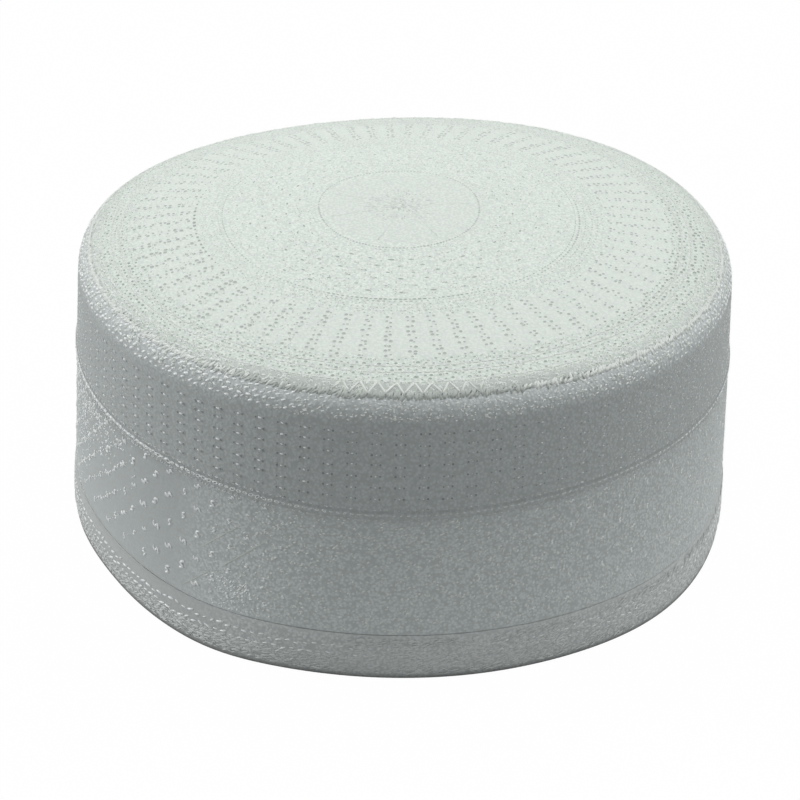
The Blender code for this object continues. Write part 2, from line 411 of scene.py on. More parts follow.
# Crown spokes: seventy-two pairs of punched dots that run out over the dome, with plain cloth
# between them. Each dot is a needle hole whose edge is drawn up by its thread.
LIP = 0.00009
SINK = 0.45
HOLE_FOOT = 0.72
HOLE_MOUTH = 0.56
HOLE_LEDGE = 0.16


def finished_stitch(bm, across, down, height):
    """A mesh of one stitch at its full size, with its normals outward."""
    bmesh.ops.scale(bm, verts=bm.verts, vec=(across, down, height))
    bmesh.ops.recalc_face_normals(bm, faces=bm.faces)
    return made_mesh(bm, "stitch")


def sunken(bm, length, width, verts, hole_shade_layer, painted_shade):
    """Sinks the inside of a hole, marks it with painted shade, and finishes the stitch."""
    bmesh.ops.translate(bm, verts=verts, vec=(0.0, 0.0, -SINK))
    for vert in verts:
        vert[hole_shade_layer] = painted_shade
    return finished_stitch(bm, length, width, 2.0 * LIP)


def lip_of_cloth(sides, foot, mouth):
    """The low lip round a hole, its layer for the painted shade inside, and the face within the lip."""
    bm = bmesh.new()
    bmesh.ops.create_cone(bm, cap_ends=True, segments=sides, radius1=foot, radius2=mouth, depth=1.0)
    hole_shade_layer = bm.verts.layers.float.new("hole_shade")
    return bm, hole_shade_layer, max(bm.faces, key=lambda side: side.calc_center_median().z)


def needle_hole(length, width, sides=6):
    """A punched hole: a low lip of cloth round a sunken floor painted with shade, its base below the face."""
    bm, hole_shade_layer, top = lip_of_cloth(sides, HOLE_FOOT, HOLE_MOUTH)
    bmesh.ops.inset_region(bm, faces=[top], thickness=HOLE_LEDGE, depth=0.0)
    return sunken(bm, length, width, top.verts, hole_shade_layer, 1.0)


def sew(name, slot, material, stitch, turns, runs, heights=0.0, leans=0.0, sizes=1.0):
    """Joins a copy of a stitch at each place on the cap, and bends it to lie on the cap's face.

    In a stitch x runs round the cap, y runs down the face and z stands off it. A lean turns the
    stitch on the face, and a size scales it.
    """
    turns, runs = np.broadcast_arrays(np.asarray(turns, float).ravel(), np.asarray(runs, float).ravel())
    heights, leans, sizes = (np.broadcast_to(np.asarray(part, float).ravel(), turns.shape)
                             for part in (heights, leans, sizes))
    count = len(stitch.vertices)
    unit = np.empty(count * 3, np.float32)
    stitch.vertices.foreach_get("co", unit)
    unit = unit.reshape(-1, 3).astype(float)
    lean_cos, lean_sin = np.cos(leans)[:, None], np.sin(leans)[:, None]
    across = (unit[:, 0] * lean_cos - unit[:, 1] * lean_sin) * sizes[:, None]
    down = (unit[:, 0] * lean_sin + unit[:, 1] * lean_cos) * sizes[:, None]
    off = unit[:, 2] * sizes[:, None] + heights[:, None]
    place_runs = runs[:, None] + down
    place_turns = turns[:, None] + across / face_point(runs)[0][:, None]
    radii, levels = face_point(place_runs, off)
    points = settled(place_turns, radii, levels).reshape(-1, 3)
    corners = [list(side.vertices) for side in stitch.polygons]
    faces = [[first + corner_index for corner_index in side]
             for first in range(0, count * len(turns), count) for side in corners]
    mesh = bpy.data.meshes.new(name)
    mesh.from_pydata(points.tolist(), [], faces)
    if "hole_shade" in stitch.attributes:
        hole_shade = np.empty(count, np.float32)
        stitch.attributes["hole_shade"].data.foreach_get("value", hole_shade)
        mesh.attributes.new("hole_shade", "FLOAT", "POINT").data.foreach_set("value", np.tile(hole_shade, len(turns)))
    mesh.shade_smooth()
    bpy.data.meshes.remove(stitch)
    mesh.materials.append(material)
    piece = new_piece(name, mesh)
    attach(piece, "root")


LAST_RING = 0.0545
STRETCH_MARGIN = 0.0012
STRETCH_REACH = 0.034
RING_STRETCH = 0.138
PATTERN_SHIFT = -0.00198


def on_crown(turns, radii):
    """Turns and runs of the crown's pattern, which was stitched a little long and off centre."""
    stretch = RING_STRETCH * np.clip((LAST_RING + STRETCH_MARGIN - radii) / STRETCH_REACH, 0.0, None)
    shift = PATTERN_SHIFT * (1.0 - np.clip(radii / SEAM_RUN, 0.0, 1.0) ** 10)
    across = radii * np.cos(turns) + shift
    along = radii * np.sin(turns) * (1.0 + stretch)
    return np.arctan2(along, across), np.hypot(across, along)


# The grain of cotton thread, used by every needle hole and every kind of thread.
thread_grain, grain_in, grain_out = node_group(
    "thread_grain", [("Vector", "Vector", None), ("Scale", "Float", 2600.0)], ["Grain"])
strands = add_node(thread_grain, "ShaderNodeTexNoise", Vector=grain_in["Vector"],
                   Scale=grain_in["Scale"], Detail=2.0)
thread_grain.links.new(strands.outputs[0], grain_out["Grain"])


def grain_of(tree, scale):
    """Output of the thread grain in one material."""
    places = add_node(tree, "ShaderNodeTexCoord").outputs["Object"]
    return add_node(tree, "ShaderNodeGroup", {"node_tree": thread_grain},
                    Vector=places, Scale=scale).outputs[0]


def hole_material(name, colour, floor_shade_colour):
    """Cotton round a needle hole, and the painted shade on its floor."""
    material, tree, surface = new_material(name)
    hole_shade = add_node(tree, "ShaderNodeAttribute", {"attribute_name": "hole_shade"}).outputs["Fac"]
    floor_shade_share = smooth_step(tree, hole_shade, 0.15, 0.85)
    fray = grain_of(tree, 1800.0)
    frayed = sum_of(tree, "MULTIPLY_ADD", fray, 0.3, sum_of(tree, "SUBTRACT", floor_shade_share, 0.15))
    dark = add_node(tree, "ShaderNodeClamp", Value=frayed).outputs[0]
    dress(tree, surface, mixed_colour(tree, dark, colour, floor_shade_colour), fray, 0.4, 0.0001,
          Roughness=0.85, Specular_IOR_Level=0.3)
    return material


HOLE_WHITE = (0.82, 0.87, 0.82)
# The floors of the crown's holes are painted grey, a painted shade for the dark inside of each hole.
crown_slit = hole_material("crown_slit", HOLE_WHITE, (0.40, 0.45, 0.41))
crown_hole = hole_material("crown_needle_hole", HOLE_WHITE, (0.47, 0.51, 0.48))
SPOKES = 72
SPOKE_DOTS = 9
FIRST_DOT = 0.0566
DOT_PITCH = 0.0019
SPOKE_WIDTH = 0.00115
SPOKE_HOLE = (0.00105, 0.00090)
CHANCE_SEED = 7
chance = np.random.RandomState(CHANCE_SEED)
spoke, side, dot = np.meshgrid(np.arange(SPOKES), (-0.5, 0.5), np.arange(SPOKE_DOTS), indexing="ij")
spoke_radii = FIRST_DOT + DOT_PITCH * dot + chance.normal(0.0, 0.00036, spoke.shape)
spoke_turns = FULL_TURN * (spoke + 0.6) / SPOKES + side * SPOKE_WIDTH / spoke_radii
spoke_turns = spoke_turns + chance.normal(0.0, 0.0027, spoke.shape)
spoke_openness = 0.93 + 0.3 * near(spoke_turns, 200.0, 40.0)
spoke_openness += 0.35 * near(spoke_turns, 80.0, 60.0, 4)
sew("crown_spoke_holes", "crown_cloth", crown_hole, needle_hole(*SPOKE_HOLE),
    *on_crown(spoke_turns, spoke_radii),
    sizes=chance.uniform(0.6, 1.2, spoke.size) * spoke_openness.ravel())


# Crown rings: lines of close holes round the plain middle disc, round the pebbled field and
# inside the spokes, worked in single and double rows.
def evenly(count, shift=0.0, jitter=0.0):
    """Turns of an even row of stitches. A shift and a jitter are shares of the pitch."""
    return FULL_TURN * (np.arange(count) + shift + jitter) / count


def clearest_in_front(turns, sides, front=1.0):
    """How open the holes are, at the sides and at the front."""
    return sides + (front - sides) * near(turns, 268.0, 26.0)


SLIT_LENGTH = 0.001
RING_ROWS = [
    # radius, holes, length, width, then openness: sides, front, more at the right, more at the left
    (0.02150, 150, 0.00095, 0.00085, 0.9, 0.9, 0.0, 0.0),
    (0.02260, 120, 0.00080, 0.00042, 0.6, 1.0, 0.0, 0.0),
    (0.04740, 250, 0.00130, 0.00075, 0.6, 1.0, 0.0, 0.0),
    (0.04850, 230, 0.00095, 0.00060, 0.6, 1.0, 0.6, 0.0),
    (0.05010, 200, 0.00070, 0.00050, 0.6, 1.0, 0.6, 0.0),
    (0.05190, 200, 0.00070, 0.00050, 0.6, 1.0, 0.6, 0.0),
    (0.05340, 200, 0.00075, 0.00050, 0.6, 1.0, 0.6, 0.0),
    (0.05490, 150, 0.00120, 0.00080, 0.5, 0.5, 0.0, 0.95),
]
for index, (radius, holes, length, width, sides, front, right, left) in enumerate(RING_ROWS):
    ring_turns = evenly(holes, jitter=chance.uniform(-0.12, 0.12, holes))
    openness = clearest_in_front(ring_turns, sides, front)
    openness = openness + right * near(ring_turns, 350.0, 35.0) + left * near(ring_turns, 189.0, 21.0)
    sew(f"crown_ring_{index + 1}", "crown_cloth", crown_slit if length > SLIT_LENGTH else crown_hole,
        needle_hole(length, width, sides=5), *on_crown(ring_turns, np.full(holes, radius)),
        sizes=chance.uniform(0.6, 1.1, holes) * openness)


# Crown field: short slits set half-drop between the two inner rings, in pebbled ground stitching.
# Each slit is opened by the needle and held open by its thread.
FIELD_COLUMNS = 68
FIELD_STEPS = 6
FIELD_START = 0.0270
FIELD_DROP = 0.0033
FIELD_SLIT = (0.0019, 0.00085)
column, drop = np.meshgrid(np.arange(FIELD_COLUMNS), np.arange(FIELD_STEPS), indexing="ij")
kept = (column + drop) % 2 == 0
field_radii = FIELD_START + FIELD_DROP * drop[kept] + chance.normal(0.0, 0.0002, kept.sum())
field_turns = FULL_TURN * (column[kept] + 0.2 + chance.normal(0.0, 0.05, kept.sum())) / FIELD_COLUMNS
sew("crown_field_slits", "crown_cloth", crown_slit, needle_hole(*FIELD_SLIT),
    *on_crown(field_turns, field_radii),
    sizes=chance.uniform(0.6, 1.1, kept.sum()) * clearest_in_front(field_turns, 0.7))


# Seed holes: single needle holes scattered through the ground stitching, closest in the field and
# the border, and among the spokes everywhere but at the front.
FRONT_WEAR = 0.62
RIGHT_WEAR = 0.35
PRICK_SIDES = 5
PRICK_FOOT = 0.66
PRICK_MOUTH = 0.50
PRICK_PAINTED_SHADE = 1.3


def worn_flat(turns):
    """How far the relief stands up: pressed flattest at the front, and softer at the right."""
    front = np.exp(-((np.degrees(turns) % 360.0 - 274.0) / 24.0) ** 2)
    right = np.exp(-((np.degrees(turns) % 360.0 - 318.0) / 26.0) ** 2)
    return 1.0 - FRONT_WEAR * front - RIGHT_WEAR * right


def needle_prick(length, width):
    """The smallest hole: its top sinks to a point in the middle, painted with shade there."""
    bm, hole_shade_layer, top = lip_of_cloth(PRICK_SIDES, PRICK_FOOT, PRICK_MOUTH)
    middle = bmesh.ops.poke(bm, faces=[top])["verts"]
    return sunken(bm, length, width, middle, hole_shade_layer, PRICK_PAINTED_SHADE)


SEED_HOLE = (0.00076, 0.00064)
SMALLEST_HOLE = 0.35
SEED_GROUPS = [
    # lowest radius, highest radius, holes, how much is left plain at the front, and at the right back
    (0.0232, 0.0462, 1700, 0.1, 0.0),
    (0.0485, 0.0550, 700, 0.2, 0.0),
    (0.0560, 0.0725, 1900, 0.9, 0.55),
    (0.0730, 0.0812, 1500, 0.1, 0.0),
    (0.0814, 0.0850, 1500, 0.0, 0.0),
]
for index, (low, high, holes, plain_front, plain_back) in enumerate(SEED_GROUPS):
    seed_radii = np.sqrt(chance.uniform(low ** 2, high ** 2, holes))
    seed_turns = chance.uniform(0.0, FULL_TURN, holes)
    seed_sizes = chance.uniform(0.65, 1.25, holes)
    seed_sizes = seed_sizes * (1.0 - plain_front * (1.0 - worn_flat(seed_turns)) / FRONT_WEAR).clip(0.0, 1.0)
    seed_sizes = seed_sizes * (1.0 - plain_back * near(seed_turns, 10.0, 52.0, 4))
    shown = seed_sizes > SMALLEST_HOLE
    sew(f"crown_seed_holes_{index + 1}", "crown_cloth", crown_hole, needle_prick(*SEED_HOLE),
        *on_crown(seed_turns[shown], seed_radii[shown]), leans=chance.uniform(0.0, math.pi, shown.sum()),
        sizes=seed_sizes[shown])


# Crown border: close rows of holes between the spokes and the overcast edge, with white cotton
# thread laid down between the rows.
def thread_material(name, colour, roughness, gloss):
    """Twisted cotton thread, white or shaded."""
    material, tree, surface = new_material(name)
    strand = grain_of(tree, 2600.0)
    tint = mixed_colour(tree, strand, colour, tuple(0.92 * part for part in colour))
    dress(tree, surface, tint, strand, 0.35, 0.0001,
          Roughness=roughness, IOR=1.7, Specular_IOR_Level=gloss, Sheen_Weight=0.2)
    return material


def raised_stitch(length, width, height, sides=6, rings=4):
    """A short satin stitch: a rounded bar of thread, half sunk in the cloth."""
    bm = bmesh.new()
    bmesh.ops.create_uvsphere(bm, u_segments=sides, v_segments=rings, radius=0.5,
                              matrix=Matrix.Rotation(math.pi / 2, 3, "Y").to_4x4())
    return finished_stitch(bm, length, width, 2.0 * height)


white_thread = thread_material("white_thread", (0.93, 0.96, 0.95), 0.36, 1.0)
ground_thread = thread_material("ground_thread", (0.81, 0.84, 0.80), 0.55, 0.4)
BORDER_ROWS = [
    # radius, holes, length, width
    (0.0734, 260, 0.00085, 0.00065),
    (0.0748, 260, 0.00110, 0.00080),
    (0.0768, 260, 0.00100, 0.00070),
    (0.0792, 270, 0.00110, 0.00085),
    (0.0806, 270, 0.00100, 0.00080),
    (0.0820, 270, 0.00090, 0.00070),
]
for index, (radius, holes, length, width) in enumerate(BORDER_ROWS):
    border_turns = evenly(holes, 0.5 * (index % 2), chance.uniform(-0.12, 0.12, holes))
    border_radii = np.full(holes, radius) + chance.normal(0.0, 0.00028, holes)
    openness = clearest_in_front(border_turns, 0.75)
    openness = openness + 0.6 * near(border_turns, 348.0, 28.0) + 0.3 * near(border_turns, 200.0, 25.0)
    sew(f"crown_border_holes_{index + 1}", "crown_cloth", crown_slit,
        needle_hole(length, width), *on_crown(border_turns, border_radii),
        sizes=chance.uniform(0.5, 1.15, holes) * openness)

LAID_WIDTH = 0.00070
LAID_HEIGHT = 0.00012
LAID_OVERLAP = 1.05
LAID_ROWS = [
    # radius, stitches
    (0.0757, 260),
    (0.0780, 270),
    (0.0815, 300),
]
for index, (radius, stitches) in enumerate(LAID_ROWS):
    laid_length = FULL_TURN * radius / stitches * LAID_OVERLAP
    sew(f"crown_border_thread_{index + 1}", "crown_cloth", ground_thread,
        raised_stitch(laid_length, LAID_WIDTH, LAID_HEIGHT, sides=4, rings=3),
        *on_crown(evenly(stitches), np.full(stitches, radius)), leans=chance.normal(0.0, 0.12, stitches),
        sizes=chance.uniform(0.75, 1.0, stitches))


# Middle of the crown: a few faint rays of flat cotton, and small stitches of shaded thread that
# gather the cloth at its very middle.
def long_stitch(length, width, height, cuts=6):
    """A long float of thread with narrow ends, cut across so that it can bend over the shoulder."""
    bm = bmesh.new()
    bmesh.ops.create_cone(bm, cap_ends=True, segments=6, radius1=0.5, radius2=0.5, depth=1.0,
                          matrix=Matrix.Rotation(math.pi / 2, 4, "X"))
    lengthwise = [edge for edge in bm.edges if abs(edge.verts[0].co.y - edge.verts[1].co.y) > 0.5]
    bmesh.ops.subdivide_edges(bm, edges=lengthwise, cuts=cuts, use_grid_fill=True)
    for vert in bm.verts:
        if abs(vert.co.y) > 0.49:
            vert.co.x *= 0.5
            vert.co.z *= 0.3
    return finished_stitch(bm, width, length, 2.0 * height)


RAYS = 7
RAY_RADIUS = 0.0105
RAY = (0.0170, 0.00040, 0.00005)
ray_turns = evenly(RAYS, jitter=chance.uniform(-0.2, 0.2, RAYS))
sew("crown_rays", "crown_cloth", crown_cotton, long_stitch(*RAY, cuts=8),
    *on_crown(ray_turns, np.full(RAYS, RAY_RADIUS)))

GATHERS = 150
GATHER = (0.00040, 0.00120, 0.00007)
gather_thread = thread_material("gather_thread", (0.65, 0.69, 0.65), 0.7, 0.3)
gather_turns = chance.uniform(0.0, FULL_TURN, GATHERS)
gather_radii = 0.0008 + 0.0080 * chance.uniform(0.0, 1.0, GATHERS)
sew("crown_gathers", "crown_cloth", gather_thread, raised_stitch(*GATHER, sides=5),
    *on_crown(gather_turns, gather_radii), sizes=chance.uniform(0.6, 1.1, GATHERS))


# Side wall: a strip of the same cotton, joined into a tapered tube. Its top rolls over the shoulder
# and runs on under the crown's edge, and a pressed fold runs round it at mid-height.
PLY = 0.0009
SEAM_LAP = 0.0060
HEM_HEIGHT = 0.0128
HEM_ROUND = 0.0002
CREASE_RISE = 0.0004
CREASE_HALF_WIDTH = 0.0011
CREASE_RUN = RIM_RUN - CREASE_HEIGHT / math.cos(TAPER)
HEM_RUN = RIM_RUN - HEM_HEIGHT / math.cos(TAPER)
PLY_OUTER = CLOTH + GAP
PLY_INNER = CLOTH + GAP + PLY


def crease_rise(runs):
    """How far the pressed fold stands off the wall."""
    return CREASE_RISE * np.exp(-((runs - CREASE_RUN) / (0.6 * CREASE_HALF_WIDTH)) ** 2)


# The section starts at the end of the seam allowance, comes out over the shoulder and down the
# wall, and goes back up inside.
uphill, downhill, inward = seam_sides(SEAM_LIFT)
lap_start = SEAM_RUN - SEAM_LAP
foot_run = HEM_RUN - 0.5 * GAP
wall_rows = face_rows(np.linspace(lap_start, SEAM_RUN, 8), -PLY_OUTER)
wall_rows += corner_rows(face_point(SEAM_RUN), inward, downhill, SEAM_ROUND, SEAM_RUN)
wall_rows += face_rows(np.linspace(SEAM_RUN + 0.0012, SHOULDER_RUN, 14))
wall_rows += face_rows(np.linspace(SHOULDER_RUN + 0.001, foot_run - HEM_ROUND, 60), 0.0, crease_rise)
wall_rows += corner_rows(face_point(foot_run), (0.0, 1.0), (-1.0, 0.0), 0.5 * HEM_ROUND, foot_run)
wall_rows += face_rows(np.linspace(foot_run, SHOULDER_RUN, 8), -CLOTH)
under_runs = np.linspace(SHOULDER_RUN, SEAM_RUN, 6)[1:]
under_shares = (under_runs - SHOULDER_RUN) / (SEAM_RUN - SHOULDER_RUN)
wall_rows += face_rows(under_runs, -(CLOTH + (PLY_INNER - CLOTH) * under_shares))
wall_rows += face_rows(np.linspace(SEAM_RUN, lap_start, 6)[1:], -PLY_INNER)
wall_cloth = spun_cloth("wall_cloth", wall_rows, True)
# The wall's cotton is the crown's white painted darker, a painted shade. Its bands paint it lighter at the
# shoulder and low down, with a dark line of painted shade each side of the fold, and a quiet patch low at the
# front left is painted darker still.
WALL_SHADED_WHITE = (0.50, 0.53, 0.527)
WALL_HOLLOW_SHADE = (0.32, 0.345, 0.34)
WALL_QUIET = (0.095, 0.075, 0.1165)
WALL_BANDS = [
    (0.0, 0.8, 1.52), (0.0868, 0.8, 1.52), (0.0895, 0.8, 1.28), (0.0928, 0.6, 1.02), (0.1130, 0.6, 1.02),
    (0.1136, 0.6, 1.05), (0.1140, 0.6, 0.86), (0.1145, 0.6, 1.08), (0.1151, 0.6, 1.08), (0.1156, 0.6, 0.86),
    (0.1161, 0.6, 1.1), (0.1185, 0.85, 1.26), (0.1490, 0.85, 1.42), (0.1500, 0.5, 1.3), (0.1630, 0.5, 1.3),
]
wall_cotton = cloth_material("wall_cotton", WALL_SHADED_WHITE, WALL_HOLLOW_SHADE, False, WALL_BANDS, WALL_QUIET)
wall_cloth.data.materials.append(wall_cotton)
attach(wall_cloth, "root")
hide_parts("side_wall")


# Upper wall columns: pairs of holes with a short bar of thread worked across between them, in
# columns from the shoulder down to the fold.
COLUMNS = 99
COLUMN_ROWS = 8
FIRST_ROW = 0.0948
ROW_PITCH = 0.00265
BAR_SPAN = 0.00205
WALL_BAR = (0.00112, 0.00062, 0.00026)
COLUMN_HOLE = (0.00075, 0.00075)


def flat_sides(turns):
    """The relief lies flatter at the far left and the far right."""
    return 1.0 - 0.5 * near(turns, 187.0, 19.0) - 0.8 * near(turns, 350.0, 28.0)


column, row = np.meshgrid(np.arange(COLUMNS), np.arange(COLUMN_ROWS), indexing="ij")
bar_turns = (FULL_TURN * (column + 0.15) / COLUMNS).ravel()
bar_runs = (FIRST_ROW + ROW_PITCH * row).ravel() + chance.normal(0.0, 0.00015, column.size)
bar_leans = chance.normal(0.0, 0.25, column.size)
bar_sizes = chance.uniform(0.7, 1.15, column.size) * (1.12 * worn_flat(bar_turns) - 0.12)
sew("wall_bars", "wall_cloth", white_thread, raised_stitch(*WALL_BAR, sides=5),
    bar_turns, bar_runs, leans=bar_leans, sizes=bar_sizes * flat_sides(bar_turns))
# The wall's holes: cotton as grey as the wall's painted shade, and floors painted darker still as the shade
# inside.
wall_hole = hole_material("wall_needle_hole", (0.52, 0.55, 0.545), (0.28, 0.30, 0.30))
half_span = 0.5 * BAR_SPAN / SHOULDER_RADIUS
hole_turns = np.concatenate([bar_turns - half_span, bar_turns + half_span])
hole_sizes = chance.uniform(0.6, 1.1, hole_turns.size) * flat_sides(hole_turns)
hole_sizes = hole_sizes * (1.0 - 0.35 * near(hole_turns, 308.0, 22.0))
sew("wall_column_holes", "wall_cloth", wall_hole, needle_hole(*COLUMN_HOLE), hole_turns,
    np.tile(bar_runs, 2), sizes=hole_sizes)


# Fold stitching: a chain of loops worked along the pressed fold in white thread, with a smaller
# chain on each side and a line of satin stitches on the fold itself.
def thread_loop(width, length, thread, steps):
    """An oval loop of thread, lying on the cloth."""
    bm = bmesh.new()
    upright = Matrix.Rotation(math.pi / 2, 4, "X") @ Matrix.Rotation(math.pi / 4, 4, "Z")
    ring = bmesh.ops.create_circle(bm, segments=4, radius=0.5 * thread, matrix=upright)["verts"]
    bmesh.ops.translate(bm, verts=ring, vec=(0.5 * (width - thread), 0.0, 0.0))
    edges = list(bm.edges)
    bmesh.ops.spin(bm, geom=ring + edges, cent=(0.0, 0.0, 0.0), axis=(0.0, 0.0, 1.0), dvec=(0.0, 0.0, 0.0),
                   angle=FULL_TURN, steps=steps, use_merge=True)
    bmesh.ops.scale(bm, verts=bm.verts, vec=(1.0, length / width, 0.6))
    bmesh.ops.translate(bm, verts=bm.verts, vec=(0.0, 0.0, 0.12 * thread))
    return finished_stitch(bm, 1.0, 1.0, 1.0)


CHAIN_LINKS = 340
CHAIN_LINK = (0.0020, 0.0010, 0.00040)
CHAIN_ROWS = [
    # place below the fold, size, height off the wall, steps round a link
    (0.0000, 1.00, 0.00030, 8),
    (0.0015, 0.70, 0.00005, 6),
    (-0.0013, 0.55, 0.00005, 6),
]
for index, (below, size, height, steps) in enumerate(CHAIN_ROWS):
    chain_turns = evenly(CHAIN_LINKS, 0.5 * index)
    chain_sizes = size * (1.15 * worn_flat(chain_turns) - 0.15) * chance.uniform(0.65, 1.15, CHAIN_LINKS)
    sew(f"fold_chain_{index + 1}", "wall_cloth", white_thread, thread_loop(*CHAIN_LINK, steps),
        chain_turns, CREASE_RUN + below, heights=height, leans=chance.normal(0.0, 0.35, CHAIN_LINKS),
        sizes=chain_sizes)

FOLD_STITCHES = 300
FOLD_STITCH = (0.00175, 0.00060, 0.00036)
fold_turns = evenly(FOLD_STITCHES, jitter=chance.uniform(-0.12, 0.12, FOLD_STITCHES))
fold_fade = 1.0 - 0.86 * near(fold_turns, 280.0, 42.0, 4)
fold_fade -= 0.40 * near(fold_turns, 342.0, 18.0)
sew("fold_line", "wall_cloth", white_thread, raised_stitch(*FOLD_STITCH), fold_turns,
    CREASE_RUN - 0.0001, heights=0.0003, leans=chance.normal(0.0, 0.20, FOLD_STITCHES),
    sizes=chance.uniform(0.75, 1.1, FOLD_STITCHES) * fold_fade)


# Lower wall: pairs of upright stitches set half-drop, so that they run in slanting rows both ways,
# over a ground of small seed stitches. Three long floats lie beside the plain patch at the left.
def stitch_stack(length, width, height, pitch, lean):
    """Three short satin stitches, one below the other, that lean to and fro like a figure eight."""
    bm = bmesh.new()
    for step, turned in ((-1, -lean), (0, lean), (1, -lean)):
        bar = bmesh.ops.create_uvsphere(bm, u_segments=5, v_segments=4, radius=0.5,
                                        matrix=Matrix.Rotation(math.pi / 2, 4, "Y"))["verts"]
        bmesh.ops.scale(bm, verts=bar, vec=(length, width, 2.0 * height))
        bmesh.ops.rotate(bm, verts=bar, cent=(0.0, 0.0, 0.0), matrix=Matrix.Rotation(turned, 3, "Z"))
        bmesh.ops.translate(bm, verts=bar, vec=(0.0, pitch * step, 0.0))
    return finished_stitch(bm, 1.0, 1.0, 1.0)


LOOP_COLUMNS = 120
LOOP_STEPS = 9
LOOP_DROP = 0.0035
LOOP_START = 0.1175
WALL_LOOP = (0.00150, 0.00068, 0.00032)
LOOP_PITCH = 0.00076
LOOP_LEAN = 0.50
column, drop = np.meshgrid(np.arange(LOOP_COLUMNS), np.arange(LOOP_STEPS), indexing="ij")
kept = (column + drop) % 2 == 1
loops = kept.sum()
loop_runs = LOOP_START + LOOP_DROP * drop[kept] + chance.normal(0.0, 0.00025, loops)
loop_turns = FULL_TURN * (column[kept] + chance.normal(0.0, 0.05, loops)) / LOOP_COLUMNS - math.pi
loop_sizes = chance.uniform(0.75, 1.2, loops) * (1.2 * worn_flat(loop_turns) - 0.2)
loop_sizes = loop_sizes * (0.4 + 0.6 * flat_sides(loop_turns))
loop_sizes = loop_sizes * (1.0 - 0.5 * near(loop_turns, 260.0, 15.0, 4))
loop_leans = np.where(chance.uniform(0.0, 1.0, loops) < 0.3, 1.35, 0.1) + chance.normal(0.0, 0.28, loops)
sew("wall_loops", "wall_cloth", white_thread, stitch_stack(*WALL_LOOP, LOOP_PITCH, LOOP_LEAN),
    loop_turns, loop_runs, leans=loop_leans, sizes=loop_sizes)

LINK_REACH = 228.0
LINK_FADE = 16.0
LINK_MIDDLE = 200.0
LINK_SPREAD = 40.0
WALL_LINK = (0.00125, 0.00060, 0.00030)
SMALLEST_STITCH = 0.3
link_share = np.repeat([0.34, 0.67], loops)
link_turns = np.tile(loop_turns, 2) + link_share * FULL_TURN / LOOP_COLUMNS
link_runs = np.tile(loop_runs, 2) - link_share * LOOP_DROP
link_fade = np.clip((LINK_REACH - np.degrees(link_turns) % 360.0) / LINK_FADE, 0.0, 1.0)
link_sizes = chance.uniform(0.6, 1.1, link_turns.size) * link_fade
linked = (link_sizes > SMALLEST_STITCH) & (np.abs(angle_from(link_turns, LINK_MIDDLE)) < LINK_SPREAD)
sew("wall_links", "wall_cloth", white_thread, raised_stitch(*WALL_LINK), link_turns[linked],
    link_runs[linked], leans=chance.normal(-0.8, 0.4, linked.sum()), sizes=link_sizes[linked])

CLUSTER_STITCH = (0.00130, 0.00062, 0.00030)
CLUSTER_END = 0.1492
CLUSTERS = [
    # middle turn, spread, first run, spread of runs, stitches, size
    (206.0, 9.0, 0.1176, 0.0055, 230, 0.85),
    (196.0, 5.0, 0.1180, 0.0150, 240, 0.70),
    (244.2, 2.2, 0.1405, 0.0050, 90, 0.62),
]
for index, (middle, spread, first, depth, stitches, size) in enumerate(CLUSTERS):
    cluster_turns = np.radians(chance.normal(middle, spread, stitches))
    cluster_runs = np.minimum(first + np.abs(chance.normal(0.0, depth, stitches)), CLUSTER_END)
    sew(f"wall_cluster_{index + 1}", "wall_cloth", white_thread,
        raised_stitch(*CLUSTER_STITCH), cluster_turns, cluster_runs,
        leans=chance.normal(-0.7, 0.35, stitches), sizes=size * chance.uniform(0.6, 1.1, stitches))

HATCH_STITCH = (0.00084, 0.00045, 0.00015)
HATCH_GROUPS = [
    # first run, last run, stitches, and the stretch left plain: its middle, half width and power
    (0.1165, 0.1492, 4900, (214.0, 27.0, 6)),
    (0.0930, 0.1128, 4200, (262.0, 46.0, 4)),
]
for index, (first, last, stitches, plain_stretch) in enumerate(HATCH_GROUPS):
    hatch_turns = chance.uniform(0.0, FULL_TURN, stitches)
    hatch_sizes = chance.uniform(0.55, 1.05, stitches) * (1.0 - near(hatch_turns, *plain_stretch))
    stitched = hatch_sizes > SMALLEST_STITCH
    sew(f"wall_hatch_{index + 1}", "wall_cloth", ground_thread,
        raised_stitch(*HATCH_STITCH, sides=4, rings=3), hatch_turns[stitched],
        chance.uniform(first, last, stitched.sum()), leans=chance.normal(-0.55, 0.35, stitched.sum()),
        sizes=hatch_sizes[stitched])

seam_thread = thread_material("seam_thread", (0.54, 0.58, 0.54), 0.7, 0.3)
FLOAT_WIDTH = 0.00032
FLOAT_HEIGHT = 0.00006
FLOAT_LEAN = 0.84
FLOATS = [
    # turn, run, length
    (241.2, 0.1299, 0.0150),
    (245.9, 0.1321, 0.0178),
    (237.0, 0.1440, 0.0120),
]
for index, (turn, run, length) in enumerate(FLOATS):
    sew(f"wall_float_{index + 1}", "wall_cloth", seam_thread,
        long_stitch(length, FLOAT_WIDTH, FLOAT_HEIGHT, cuts=10), np.radians(turn), run,
        leans=FLOAT_LEAN)


# Hem band: a strip folded over the lower edge of the wall, one ply up inside it, and quilted flat
# with rows of satin stitches. Its two plies stand a little apart above the fold.
def hem_swell(runs):
    """The folded strip stands a little proud between its two edges."""
    share = np.clip((runs - HEM_RUN) / (RIM_RUN - HEM_RUN), 0.0, 1.0)
    return HEM_SWELL * np.clip(np.minimum(share, 1.0 - share) / 0.28, 0.0, 1.0)


def wall_point(level, depth=0.0):
    """Radius and level of the wall's face, a depth inside it."""
    return (RIM_RADIUS - (RIM_RADIUS - SHOULDER_RADIUS) * level / SHOULDER_HEIGHT - depth, level)


